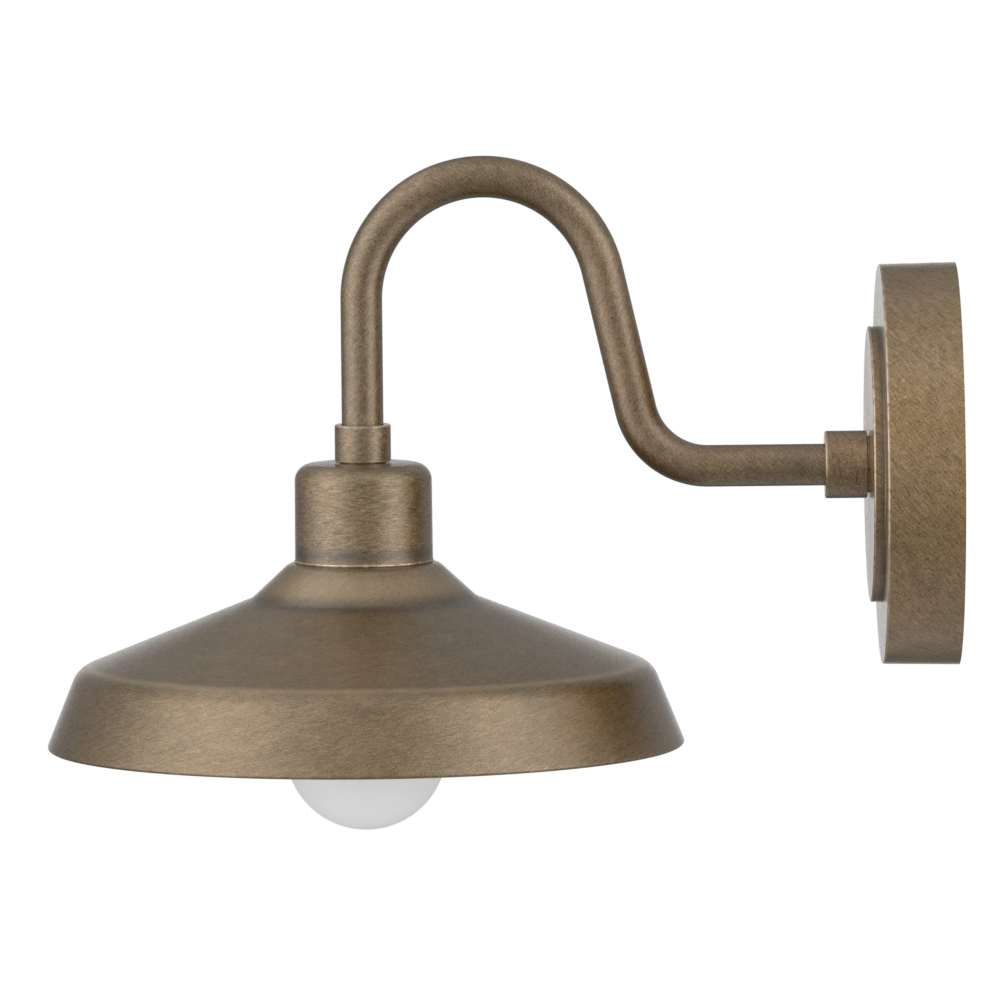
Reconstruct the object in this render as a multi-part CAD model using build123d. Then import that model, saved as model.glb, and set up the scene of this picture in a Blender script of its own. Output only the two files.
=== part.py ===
from build123d import *
import os
from math import cos, radians, sin, sqrt

# Gooseneck wall sconce. Millimetres. The origin is the centre of the canopy's back plane, on the wall.
# +Z is up, the light stands out from the wall along -Y, and X runs along the wall.

# --- Driving dimensions -------------------------------------------------------------------------

# Canopy: a spun dish with a raised step disc.
CANOPY_RADIUS = 76.2
CANOPY_TAPER = 0.5
CANOPY_DEPTH = 29.0
CANOPY_EDGE = 0.6
STEP_RADIUS = 52.2
STEP_HEIGHT = 4.3
STEP_EDGE = 0.7
CANOPY_WALL = 1.5

# Mounting strap behind the canopy, with slots for the wall box's screws.
STRAP_THICKNESS = 2.0
STRAP_WIDTH = 22.0
STRAP_BEND_RADIUS = 1.0
TAB_LENGTH = 15.0
TAB_CLEARANCE = 0.4
BOX_SCREW_SPACING = 88.9
BOX_SLOT_LENGTH = 12.0
BOX_SLOT_RADIUS = 2.4

# Screws that hold the canopy to the strap's tabs, and the earth screw.
CANOPY_SCREW_RADIUS = 1.75
CANOPY_SCREW_HEAD_RADIUS = 2.9
CANOPY_SCREW_LENGTH = 8.0
CANOPY_SCREW_DEPTH = 9.0
CANOPY_SCREW_SINK = 0.25
CANOPY_SCREW_SLOT = 0.8
CANOPY_SCREW_SLOT_DEPTH = 0.7
GROUND_SCREW_RADIUS = 2.0
GROUND_SCREW_HEAD_RADIUS = 4.2
GROUND_SCREW_HEAD = 2.2
GROUND_SCREW_HEIGHT = 22.0

# Arm: one bent tube. Its reach and rise are those of its centreline.
TUBE_RADIUS = 7.94
TUBE_WALL = 1.2
REACH = 224.8
RISE = 110.6
TOP_BEND_RADIUS = 46.2
LOW_BEND_RADIUS = 28.0
LEG_LEAN = 12.9

# Turned collars at the two ends of the arm.
WALL_COLLAR_RADIUS = 12.8
WALL_COLLAR_LENGTH = 16.7
WALL_COLLAR_FLOOR = 5.0
HEAD_COLLAR_RADIUS = 10.65
HEAD_COLLAR_LENGTH = 14.3
HEAD_COLLAR_FLOOR = 4.5
COLLAR_EDGE = 0.45
COLLAR_FOOT_EDGE = 0.3
UNDERCUT_DEPTH = 2.0
WALL_UNDERCUT = 0.8
HEAD_UNDERCUT = 0.4
TUBE_CLEARANCE = 0.2
SET_SCREW_RADIUS = 2.0
SET_SCREW_KEY = 1.0
SET_SCREW_TIP = 0.6
SET_SCREW_SINK = 0.2

# Threaded nipples, with their nuts and washers.
NIPPLE_RADIUS = 5.0
NIPPLE_BORE = 3.5
NIPPLE_STAND = 1.6
THREAD_CLEARANCE = 0.1
HOLE_CLEARANCE = 0.3
WASHER_RADIUS = 8.6
WASHER_THICKNESS = 1.0
NUT_FLATS = 14.0
NUT_HEIGHT = 3.6
NUT_EDGE = 0.5
WASHER_SPLIT = 0.8
WASHER_SLANT = 20.0
DRIVER_SLOT = 0.8
WALL_NIPPLE_TAIL = 8.0
HEAD_NIPPLE_TAIL = 1.4
BUSHING_FLANGE = 1.5
BUSHING_SLEEVE = 5.0
BUSHING_BORE = 2.95

# Socket cup: its top is the seat of the head collar.
CUP_TOP = 2.9
CUP_HUB_RADIUS = 14.5
CUP_RADIUS = 25.95
CUP_LIP_RADIUS = 26.15
CUP_HEIGHT = 37.8
CUP_DOME = 0.9
CUP_ROUND = 6.5
CUP_WALL = 1.2
CUP_BEAD = 0.55

# Shade: corners of its outer outline, as a radius and a drop below the cup's lip, down to the hem.
SHADE_WALL = 1.2
SHOULDER_RADIUS = 28.0
SHOULDER_ROUND = 7.0
WAIST_RADIUS = 42.7
WAIST_DROP = 13.7
WAIST_ROUND = 7.8
KNEE_RADIUS = 109.2
KNEE_DROP = 40.3
KNEE_ROUND = 10.3
RIM_RADIUS = 120.65
RIM_DROP = 70.15
HEM_RADIUS = 1.1

# Lamp socket, hung under the cup's roof by a strap, with a threaded skirt that carries the shade.
HANGER_THICKNESS = 1.2
HANGER_WIDTH = 12.0
HANGER_DROP = 16.7
HANGER_INNER = 10.6
HANGER_FOOT = 7.0
HANGER_SCREW_RADIUS = 1.5
HANGER_SCREW_HEAD_RADIUS = 2.8
HANGER_SCREW_HEAD = 1.6
HANGER_SCREW_LENGTH = 7.0
SOCKET_RADIUS = 19.0
SOCKET_SHOULDER_RADIUS = 22.6
SOCKET_SHOULDER = 6.0
SKIRT_RADIUS = 19.8
SKIRT_LENGTH = 14.0
SKIRT_PITCH = 2.0
SKIRT_THREAD = 0.6
SOCKET_ROOF = 7.5
RING_RADIUS = 24.0
RING_HEIGHT = 4.5
RING_NOTCHES = 12
RING_NOTCH = 1.6

# Edison screw, E26: seven threads to the inch.
LAMP_PITCH = 25.4 / 7
LAMP_CORE_RADIUS = 12.35
LAMP_THREAD_RADIUS = 13.15
LAMP_THREAD_WIRE = 0.95
LAMP_TURNS = 4.25
SHELL_RADIUS = 13.5
SHELL_WALL = 0.8
SHELL_TURNS = 4.0
SHELL_INSET = 1.0
SHELL_CLEARANCE = 0.15
SHELL_RIB_RADIUS = 12.75

# Centre contact and terminals of the socket.
PLATE_THICKNESS = 0.5
PLATE_SIDE = 3.0
PLATE_END = 2.5
PLATE_RIVET_EDGE = 2.16
TONGUE_WIDTH = 5.0
TONGUE_ROOT = 12.0
TONGUE_BEND = 5.0
TONGUE_TIP = -2.0
TONGUE_DROP = 2.6
TONGUE_LIFT = 0.6
RIVET_RADIUS = 1.2
HOT_RIVET = 10.2
TERMINAL_RADIUS = 13.2
TERMINAL_SCREW_RADIUS = 1.6
TERMINAL_HEAD_RADIUS = 3.2
TERMINAL_HEAD = 1.8
TERMINAL_LENGTH = 4.5

# Insulated leads that run whole through the arm.
LEAD_RADIUS = 1.1
LEAD_OFFSET = 1.6
CONDUCTOR_RADIUS = 0.6
CONDUCTOR_LENGTH = 6.0
LEAD_WALL_PLANE = 8.0
LEAD_WALL_BEND = 8.0
LEAD_TAIL = 34.0
LEAD_HEAD_BEND = 5.0
LEAD_STOP = 3.4
GROUND_LEAD_OUT = 24.0
GROUND_LEAD_BEND = 8.0
GROUND_LEAD_TAIL = 34.0

# Bulb, A19 size, screwed home.
TIP_GAP = 0.3
TIP_RADIUS = 4.6
TIP_HEIGHT = 1.5
TIP_EDGE = 0.9
INSULATOR_RADIUS = 9.0
INSULATOR_TOP_RADIUS = 5.6
INSULATOR_HEIGHT = 3.0
LAMP_BASE_LENGTH = 21.5
LAMP_BASE_WALL = 0.45
GLOBE_RADIUS = 30.6
GLOBE_DROP = 71.4
GLOBE_WALL = 1.5
NECK_RADIUS = 14.0
NECK_INSERT = 4.0
NECK_CLEARANCE = 0.1
SEAM_RISE = 26.3
BOARD_THICKNESS = 1.5
BOARD_CLEARANCE = 0.3
BOARD_LEDGE = 1.6
LED_COUNT = 8
LED_SIZE = 3.0
LED_HEIGHT = 0.8
LED_RING = 12.0
DRIVER_WIDTH = 15.0
DRIVER_LENGTH = 19.0
DRIVER_THICKNESS = 1.6
CAPACITOR_RADIUS = 3.0
CAPACITOR_LENGTH = 5.0

# --- Places worked out from the driving dimensions ----------------------------------------------

CANOPY_FRONT_RADIUS = CANOPY_RADIUS - CANOPY_TAPER
CUP_LIP = CUP_TOP - CUP_HEIGHT
SEAT_DEPTH = CANOPY_DEPTH + STEP_HEIGHT
WALL_SEAT = SEAT_DEPTH + WALL_COLLAR_FLOOR
HEAD_SEAT = CUP_TOP + HEAD_COLLAR_FLOOR
TUBE_BORE = TUBE_RADIUS - TUBE_WALL
COLLAR_BORE = TUBE_RADIUS + TUBE_CLEARANCE
STRAP_REACH = sqrt((CANOPY_FRONT_RADIUS - CANOPY_WALL) ** 2 - (STRAP_WIDTH / 2) ** 2) - TAB_CLEARANCE
HANGER_TOP = CUP_TOP - CUP_WALL
SOCKET_TOP = HANGER_TOP - HANGER_DROP
SOCKET_CEILING = SOCKET_TOP - SOCKET_ROOF
SKIRT_END = CUP_LIP - SKIRT_LENGTH
SHELL_TOP = SOCKET_CEILING - PLATE_THICKNESS
SHELL_END = SKIRT_END + SHELL_INSET
TONGUE_LOW = SOCKET_CEILING - PLATE_THICKNESS - TONGUE_DROP
TIP_TOP = TONGUE_LOW - TIP_GAP
INSULATOR_TOP = TIP_TOP - TIP_HEIGHT
LAMP_BASE_TOP = INSULATOR_TOP - INSULATOR_HEIGHT
LAMP_BASE_END = LAMP_BASE_TOP - LAMP_BASE_LENGTH
INSULATOR_FOOT = LAMP_BASE_TOP + (LAMP_CORE_RADIUS - INSULATOR_RADIUS) / 2
GLOBE_CENTRE = CUP_LIP - GLOBE_DROP
SEAM = GLOBE_CENTRE + SEAM_RISE
LEAD_LEVEL = SOCKET_TOP + LEAD_RADIUS
TERMINAL_SIDE = LEAD_OFFSET + CONDUCTOR_RADIUS + TERMINAL_SCREW_RADIUS

# How far a cutter runs on past the face that it opens.
CUT_OVER = 1.0

os.makedirs("parts", exist_ok=True)


# --- Helpers ------------------------------------------------------------------------------------


def save(name, *solids):
    """Writes one node, of one solid or of several alike."""
    shape = solids[0] if len(solids) == 1 else Compound(children=list(solids))
    export_step(shape, f"parts/{name}.step")


def turned(points):
    """A solid turned about Z from a closed outline of (radius, height) points."""
    return revolve(Plane.XZ * make_face(Polyline(*points, close=True)), axis=Axis.Z)


def shifted(points, distance):
    """The points of an open outline, moved sideways to the left of its direction of travel."""
    steps = [(Vector(b) - Vector(a)).normalized() for a, b in zip(points, points[1:])]
    sides = [Vector(-step.Y, step.X) for step in steps]
    sides = [sides[0], *sides, sides[-1]]
    moved = []
    for point, before, after in zip(points, sides, sides[1:]):
        mitre = (before + after) * (distance / (1 + before.dot(after)))
        moved.append((point[0] + mitre.X, point[1] + mitre.Y))
    return moved


def spun_shell(points, radii, wall):
    """Sheet of one thickness, spun about Z, whose outer outline has these corners and rounds.

    The outline runs from the hub outwards, and its last edge is cut square to the axis.
    """
    steps = [Vector(b) - Vector(a) for a, b in zip(points, points[1:])]
    turns = [before.X * after.Y - before.Y * after.X for before, after in zip(steps, steps[1:])]
    inner_radii = [
        max(radius + (wall if turn > 0 else -wall), 0) if radius else 0
        for radius, turn in zip(radii, turns)
    ]
    inner_points = shifted(points, -wall)
    (near, high), (far, low), end = *inner_points[-2:], points[-1][1]
    inner_points[-1] = (near + (far - near) * (end - high) / (low - high), end)
    outer = FilletPolyline(*points, radius=radii)
    inner = FilletPolyline(*inner_points, radius=inner_radii)
    ends = [Line(outer @ 0, inner @ 0), Line(outer @ 1, inner @ 1)]
    return revolve(Plane.XZ * make_face([*outer.edges(), *inner.edges(), *ends]), axis=Axis.Z)


def round_ring(radius, height, wire):
    """A ring of round section about Z."""
    return revolve(Plane.XZ * Pos(radius, height) * Circle(wire), axis=Axis.Z)


def rod(radius, low, high):
    """A cylinder about Z between two heights."""
    return Pos(0, 0, low) * Cylinder(radius, high - low, align=(Align.CENTER, Align.CENTER, Align.MIN))


def pipe(outer, inner, low, high):
    """A plain ring or tube about Z between two heights."""
    return rod(outer, low, high) - rod(inner, low, high)


def slab(x_span, y_span, z_span):
    """A block given by its low and high place on each axis."""
    size = [high - low for low, high in (x_span, y_span, z_span)]
    return Pos(x_span[0], y_span[0], z_span[0]) * Box(*size, align=(Align.MIN, Align.MIN, Align.MIN))


def on_wall(solid):
    """Turns a solid made about Z so that its +Z points out of the wall, along -Y."""
    return Rot(90, 0, 0) * solid


def at_head(solid):
    """Moves a solid made about Z onto the head's axis."""
    return Pos(0, -REACH, 0) * solid


def hex_nut(flats, bore, low, high):
    """A hexagon nut about Z, with its corners taken off top and bottom."""
    body = Pos(0, 0, low) * extrude(RegularPolygon(flats / 2, 6, major_radius=False), high - low)
    corner = flats / sqrt(3)
    cone = turned(
        [
            (0, low),
            (flats / 2, low),
            (corner, low + NUT_EDGE),
            (corner, high - NUT_EDGE),
            (flats / 2, high),
            (0, high),
        ]
    )
    return (body & cone) - rod(bore, low, high)


def split_washer(outer, inner, low, high):
    """A spring lock washer: a ring with a narrow slanted cut."""
    slit = Rot(WASHER_SLANT, 0, 0) * Box(outer, WASHER_SPLIT, 4 * (high - low))
    return pipe(outer, inner, low, high) - Pos((outer + inner) / 2, 0, (low + high) / 2) * slit


def set_screw(length):
    """A headless screw along +X, its hollow key end at x = 0 and its point at x = length."""
    neck, point = length - SET_SCREW_TIP, SET_SCREW_RADIUS - SET_SCREW_TIP
    body = turned([(0, 0), (SET_SCREW_RADIUS, 0), (SET_SCREW_RADIUS, neck), (point, length), (0, length)])
    key = extrude(RegularPolygon(SET_SCREW_KEY, 6), length / 2)
    return Rot(0, 90, 0) * (body - key)


def slotted_head(radius, low, high):
    """A round screw head about Z with a straight driver slot in its top."""
    edge = (high - low) / 4
    head = turned([(0, low), (radius, low), (radius, high - edge), (radius - edge, high), (0, high)])
    return head - slab((-radius, radius), (-DRIVER_SLOT / 2, DRIVER_SLOT / 2), ((low + high) / 2, high))


def tube_along(path, radius):
    """A round bar along a path."""
    return sweep(Plane(path @ 0, z_dir=path % 0) * Circle(radius), path=path)


def screw_rib(radius, wire, turns, start):
    """A round wire wound about Z as a right-hand thread, from a height upwards."""
    path = Helix(LAMP_PITCH, LAMP_PITCH * turns, radius, center=(0, 0, start))
    return sweep(Plane(path @ 0, z_dir=path % 0) * Circle(wire), path=path, is_frenet=True)


# --- Wall side ----------------------------------------------------------------------------------


def canopy():
    outline = [
        (NIPPLE_RADIUS + HOLE_CLEARANCE, SEAT_DEPTH),
        (STEP_RADIUS, SEAT_DEPTH),
        (STEP_RADIUS, CANOPY_DEPTH),
        (CANOPY_FRONT_RADIUS, CANOPY_DEPTH),
        (CANOPY_RADIUS, 0),
    ]
    dish = spun_shell(outline, [STEP_EDGE, STEP_EDGE / 2, CANOPY_EDGE], CANOPY_WALL)
    mouth_radius = CANOPY_SCREW_HEAD_RADIUS + THREAD_CLEARANCE
    mouth = rod(mouth_radius, CANOPY_RADIUS - CANOPY_SCREW_SINK, CANOPY_RADIUS + CUT_OVER)
    sink = Pos(0, 0, CANOPY_SCREW_DEPTH) * Rot(90, 0, 0) * (countersunk(THREAD_CLEARANCE) + mouth)
    return on_wall(dish - sink - Rot(0, 0, 180) * sink)


def countersunk(grow):
    """One canopy screw about Z with a flat countersunk head, or the room for it, larger all round."""
    top = CANOPY_RADIUS - CANOPY_SCREW_SINK
    head = CANOPY_SCREW_HEAD_RADIUS + grow
    shank = CANOPY_SCREW_RADIUS + grow
    neck = top - (CANOPY_SCREW_HEAD_RADIUS - CANOPY_SCREW_RADIUS)
    low = top - CANOPY_SCREW_LENGTH
    return turned([(0, low), (shank, low), (shank, neck), (head, top), (0, top)])


def canopy_screw():
    top = CANOPY_RADIUS - CANOPY_SCREW_SINK
    reach = CANOPY_SCREW_HEAD_RADIUS
    half = CANOPY_SCREW_SLOT / 2
    slot = slab((-reach, reach), (-half, half), (top - CANOPY_SCREW_SLOT_DEPTH, top + CANOPY_SCREW_SINK))
    return on_wall(Pos(0, 0, CANOPY_SCREW_DEPTH) * Rot(90, 0, 0) * (countersunk(0) - slot))


def mounting_bracket():
    half = STRAP_WIDTH / 2
    tab_face = STRAP_REACH - STRAP_THICKNESS
    outline = [
        (0, -STRAP_REACH),
        (0, STRAP_REACH),
        (-TAB_LENGTH, STRAP_REACH),
        (-TAB_LENGTH, tab_face),
        (-STRAP_THICKNESS, tab_face),
        (-STRAP_THICKNESS, -tab_face),
        (-TAB_LENGTH, -tab_face),
        (-TAB_LENGTH, -STRAP_REACH),
    ]
    outer, inner = STRAP_BEND_RADIUS + STRAP_THICKNESS, STRAP_BEND_RADIUS
    wire = FilletPolyline(*outline, radius=[outer, outer, 0, 0, inner, inner, 0, 0], close=True)
    strap = extrude(Plane.YZ * make_face(wire), half, both=True)
    slot_face = SlotOverall(BOX_SLOT_LENGTH, 2 * BOX_SLOT_RADIUS, rotation=90)
    slot = Rot(90, 0, 0) * extrude(slot_face, 2 * STRAP_THICKNESS, both=True)
    for side in (-1, 1):
        strap -= Pos(0, 0, side * BOX_SCREW_SPACING / 2) * slot
    strap -= on_wall(rod(NIPPLE_RADIUS + HOLE_CLEARANCE, -CUT_OVER, 2 * STRAP_THICKNESS))
    ground_hole = rod(GROUND_SCREW_RADIUS + THREAD_CLEARANCE, -CUT_OVER, 2 * STRAP_THICKNESS)
    strap -= Pos(0, 0, GROUND_SCREW_HEIGHT) * on_wall(ground_hole)
    screw_hole = rod(CANOPY_SCREW_RADIUS + THREAD_CLEARANCE, -CANOPY_RADIUS, CANOPY_RADIUS)
    return strap - Pos(0, -CANOPY_SCREW_DEPTH, 0) * screw_hole


def ground_screw():
    low = STRAP_THICKNESS + 2 * CONDUCTOR_RADIUS
    screw = rod(GROUND_SCREW_RADIUS, 0, low)
    screw += slotted_head(GROUND_SCREW_HEAD_RADIUS, low, low + GROUND_SCREW_HEAD)
    return Pos(0, 0, GROUND_SCREW_HEIGHT) * on_wall(screw)


def ground_lead_line():
    """Centreline of the earth lead, from the edge of the earth screw's head to its free end."""
    level = -STRAP_THICKNESS - LEAD_RADIUS
    beside = GROUND_SCREW_HEIGHT - GROUND_SCREW_RADIUS - CONDUCTOR_RADIUS
    return FilletPolyline(
        (GROUND_SCREW_HEAD_RADIUS + HOLE_CLEARANCE, level, beside),
        (GROUND_LEAD_OUT, level, beside),
        (GROUND_LEAD_OUT, level, beside - GROUND_LEAD_TAIL),
        radius=GROUND_LEAD_BEND,
    )


def collar(radius, foot, seat, top, undercut, screw_height):
    """A turned collar about Z on a narrower foot: threaded below its seat, bored for the tube above."""
    under = foot + undercut
    body = turned(
        [
            (0, foot),
            (radius - UNDERCUT_DEPTH, foot),
            (radius - UNDERCUT_DEPTH, under),
            (radius - COLLAR_FOOT_EDGE, under),
            (radius, under + COLLAR_FOOT_EDGE),
            (radius, top - COLLAR_EDGE),
            (radius - COLLAR_EDGE, top),
            (0, top),
        ]
    )
    body -= rod(NIPPLE_RADIUS + THREAD_CLEARANCE, foot - CUT_OVER, seat + CUT_OVER)
    body -= rod(COLLAR_BORE, seat, top + CUT_OVER)
    screw_hole = Rot(0, 90, 0) * rod(SET_SCREW_RADIUS + THREAD_CLEARANCE, 0, radius)
    return body - Pos(-radius, 0, screw_height) * screw_hole


def wall_collar():
    top = SEAT_DEPTH + WALL_COLLAR_LENGTH
    screw_depth = wall_screw_depth()
    return on_wall(collar(WALL_COLLAR_RADIUS, SEAT_DEPTH, WALL_SEAT, top, WALL_UNDERCUT, screw_depth))


def head_collar():
    top = CUP_TOP + HEAD_COLLAR_LENGTH
    screw_height = head_screw_height()
    return at_head(collar(HEAD_COLLAR_RADIUS, CUP_TOP, HEAD_SEAT, top, HEAD_UNDERCUT, screw_height))


def wall_screw_depth():
    return (WALL_SEAT + SEAT_DEPTH + WALL_COLLAR_LENGTH) / 2


def head_screw_height():
    return (HEAD_SEAT + CUP_TOP + HEAD_COLLAR_LENGTH) / 2


def collar_screw(radius, height):
    """A set screw just inside a collar's outside, about Z, that bears on the tube in it."""
    face = radius - SET_SCREW_SINK
    return Pos(-face, 0, height) * set_screw(face - TUBE_RADIUS)


# --- Arm ----------------------------------------------------------------------------------------


def arm_line(wall_end, head_end):
    """The arm's centreline in its own plane, as (y, z), between a depth and a height beyond its bends."""
    lean_cos, lean_sin = cos(radians(LEG_LEAN)), sin(radians(LEG_LEAN))
    leg = (RISE - (TOP_BEND_RADIUS + LOW_BEND_RADIUS) * (1 - lean_sin)) / lean_cos
    low_bend = -REACH + (TOP_BEND_RADIUS + LOW_BEND_RADIUS) * lean_cos + TOP_BEND_RADIUS + leg * lean_sin
    run = Line((-wall_end, 0), (low_bend, 0))
    low_arc = JernArc(run @ 1, run % 1, LOW_BEND_RADIUS, LEG_LEAN - 90)
    rising = Line(low_arc @ 1, low_arc @ 1 + (low_arc % 1) * leg)
    top_arc = JernArc(rising @ 1, rising % 1, TOP_BEND_RADIUS, 180 - LEG_LEAN)
    drop = Line(top_arc @ 1, (-REACH, head_end))
    return [run, low_arc, rising, top_arc, drop]


def gooseneck_arm():
    path = Plane.YZ * Wire(arm_line(WALL_SEAT, HEAD_SEAT))
    start = Plane((0, -WALL_SEAT, 0), z_dir=(0, -1, 0))
    return sweep(start * (Circle(TUBE_RADIUS) - Circle(TUBE_BORE)), path=path)


def lead(side):
    """One lead, whole from its tail in the canopy to its terminal: side is +1 for hot, -1 for neutral."""
    bend_start = LEAD_WALL_PLANE + LEAD_WALL_BEND
    tail = Line((-LEAD_WALL_PLANE, -LEAD_TAIL), (-LEAD_WALL_PLANE, -LEAD_WALL_BEND))
    tail_arc = JernArc(tail @ 1, tail % 1, LEAD_WALL_BEND, 90)
    last_drop = LEAD_LEVEL + LEAD_HEAD_BEND
    inside = arm_line(bend_start, last_drop)
    end_arc = JernArc(inside[-1] @ 1, inside[-1] % 1, LEAD_HEAD_BEND, 90 * side)
    end = end_arc @ 1 + (end_arc % 1) * LEAD_STOP
    path = Plane.YZ * Wire([tail, tail_arc, *inside, end_arc, Line(end_arc @ 1, end)])
    start = Plane((0, -LEAD_WALL_PLANE, -LEAD_TAIL), z_dir=(0, 0, 1))
    return Pos(side * LEAD_OFFSET, 0, 0) * sweep(start * Circle(LEAD_RADIUS), path=path)


def conductor_ends():
    """The stripped ends of the three leads."""
    stub = rod(CONDUCTOR_RADIUS, 0, CONDUCTOR_LENGTH)
    ends = []
    for side in (1, -1):
        x = side * LEAD_OFFSET
        ends.append(Pos(x, -LEAD_WALL_PLANE, -LEAD_TAIL) * Rot(180, 0, 0) * stub)
        start = side * (LEAD_HEAD_BEND + LEAD_STOP)
        ends.append(at_head(Pos(x, start, LEAD_LEVEL) * Rot(-90 * side, 0, 0) * stub))
    line = ground_lead_line()
    begin, finish = line @ 0, line @ 1
    ends.append(Pos(*finish) * Rot(180, 0, 0) * stub)
    seat = -STRAP_THICKNESS - CONDUCTOR_RADIUS
    ends.append(Pos(begin.X, seat, begin.Z) * Rot(0, -90, 0) * stub)
    return ends


# --- Head ---------------------------------------------------------------------------------------


def socket_cup():
    outline = [
        (NIPPLE_RADIUS + HOLE_CLEARANCE, CUP_TOP),
        (CUP_HUB_RADIUS, CUP_TOP),
        (CUP_RADIUS, CUP_TOP - CUP_DOME),
        (CUP_LIP_RADIUS, CUP_LIP),
    ]
    shell = spun_shell(outline, [CUP_HUB_RADIUS, CUP_ROUND], CUP_WALL)
    return at_head(shell + round_ring(CUP_LIP_RADIUS - CUP_BEAD / 2, CUP_LIP + CUP_BEAD, CUP_BEAD))


def touch(start, centre, radius):
    """Where the line from a point touches a circle that it leaves on its right."""
    way = Vector(centre) - Vector(start)
    run = sqrt(way.length**2 - radius**2)
    along, aside = run / way.length, radius / way.length
    return (
        start[0] + (way.X * along - way.Y * aside) * along,
        start[1] + (way.Y * along + way.X * aside) * along,
    )


def shade():
    bore = SKIRT_RADIUS + HOLE_CLEARANCE
    knee = (KNEE_RADIUS, CUP_LIP - KNEE_DROP)
    hem = (RIM_RADIUS - HEM_RADIUS, CUP_LIP - RIM_DROP + HEM_RADIUS)
    outline = [
        (bore, CUP_LIP),
        (SHOULDER_RADIUS, CUP_LIP),
        (WAIST_RADIUS, CUP_LIP - WAIST_DROP),
        knee,
        touch(knee, hem, HEM_RADIUS),
    ]
    shell = spun_shell(outline, [SHOULDER_ROUND, WAIST_ROUND, KNEE_ROUND], SHADE_WALL)
    return at_head(shell + round_ring(*hem, HEM_RADIUS))


def shade_ring():
    top = CUP_LIP - SHADE_WALL
    bore = SKIRT_RADIUS + THREAD_CLEARANCE
    edge = RING_HEIGHT / 6
    ring = turned(
        [
            (bore, top),
            (RING_RADIUS, top),
            (RING_RADIUS, top - RING_HEIGHT + edge),
            (RING_RADIUS - edge, top - RING_HEIGHT),
            (bore, top - RING_HEIGHT),
        ]
    )
    notch = Pos(RING_RADIUS, 0, 0) * rod(RING_NOTCH, top - RING_HEIGHT, top - RING_HEIGHT / 4)
    for turn in range(RING_NOTCHES):
        ring -= Rot(0, 0, turn * 360 / RING_NOTCHES) * notch
    return at_head(ring)


def socket_hanger():
    """The strap that hangs the socket: a bridge on the nipple, two legs and two feet."""
    outer_leg = HANGER_INNER + HANGER_THICKNESS
    foot_end = outer_leg + HANGER_FOOT
    foot_top = SOCKET_TOP + HANGER_THICKNESS
    bridge = HANGER_TOP - HANGER_THICKNESS
    outline = [
        (0, HANGER_TOP),
        (outer_leg, HANGER_TOP),
        (outer_leg, foot_top),
        (foot_end, foot_top),
        (foot_end, SOCKET_TOP),
        (HANGER_INNER, SOCKET_TOP),
        (HANGER_INNER, bridge),
        (0, bridge),
    ]
    half = extrude(Plane.XZ * make_face(Polyline(*outline, close=True)), HANGER_WIDTH / 2, both=True)
    hole = rod(HANGER_SCREW_RADIUS + HOLE_CLEARANCE, SOCKET_TOP - CUT_OVER, foot_top + CUT_OVER)
    half -= Pos(hanger_screw_place(), 0, 0) * hole
    strap = half + Rot(0, 0, 180) * half
    return at_head(strap - rod(NIPPLE_RADIUS + HOLE_CLEARANCE, bridge - CUT_OVER, HANGER_TOP + CUT_OVER))


def hanger_screw_place():
    return HANGER_INNER + HANGER_THICKNESS + HANGER_FOOT / 2


def hanger_screws():
    low = SOCKET_TOP + HANGER_THICKNESS
    screw = rod(HANGER_SCREW_RADIUS, low - HANGER_SCREW_LENGTH, low)
    screw += slotted_head(HANGER_SCREW_HEAD_RADIUS, low, low + HANGER_SCREW_HEAD)
    return [at_head(Pos(side * hanger_screw_place(), 0, 0) * screw) for side in (1, -1)]


def socket_body():
    crest, root = SKIRT_RADIUS, SKIRT_RADIUS - SKIRT_THREAD
    outline = [
        (0, SOCKET_TOP),
        (SOCKET_RADIUS, SOCKET_TOP),
        (SOCKET_RADIUS, CUP_LIP + SOCKET_SHOULDER),
        (SOCKET_SHOULDER_RADIUS, CUP_LIP + SOCKET_SHOULDER),
        (SOCKET_SHOULDER_RADIUS, CUP_LIP),
        (crest, CUP_LIP),
    ]
    thread_start = CUP_LIP - SHADE_WALL - RING_HEIGHT - SKIRT_PITCH / 2
    rings = int((thread_start - SKIRT_END) / SKIRT_PITCH)
    for ring in range(rings):
        level = thread_start - ring * SKIRT_PITCH
        outline += [(crest, level), (root, level - SKIRT_PITCH / 4), (root, level - SKIRT_PITCH / 2)]
        outline += [(crest, level - 3 * SKIRT_PITCH / 4)]
    outline += [(crest, SKIRT_END), (0, SKIRT_END)]
    body = turned(outline)
    body -= rod(SHELL_RADIUS + SHELL_WALL + SHELL_CLEARANCE, SKIRT_END - CUT_OVER, SOCKET_CEILING)
    over = SOCKET_TOP + CUT_OVER
    screw_hole = rod(HANGER_SCREW_RADIUS + THREAD_CLEARANCE, SOCKET_TOP - HANGER_SCREW_LENGTH, over)
    terminal_hole = rod(TERMINAL_SCREW_RADIUS + THREAD_CLEARANCE, SOCKET_TOP - TERMINAL_LENGTH, over)
    rivet_hole = rod(RIVET_RADIUS + THREAD_CLEARANCE, SOCKET_CEILING - CUT_OVER, over)
    for side in (1, -1):
        body -= Pos(side * hanger_screw_place(), 0, 0) * screw_hole
        body -= Pos(side * TERMINAL_SIDE, side * TERMINAL_RADIUS, 0) * terminal_hole
        body -= Pos(*rivet_place(side), 0) * rivet_hole
    return at_head(body)


def rivet_place(side):
    """Where the hot rivet (+1) meets the tongue's root, and the neutral one (-1) the shell's top edge."""
    if side > 0:
        return 0, HOT_RIVET
    return 0, -(SHELL_RADIUS + SHELL_WALL - RIVET_RADIUS)


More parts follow.
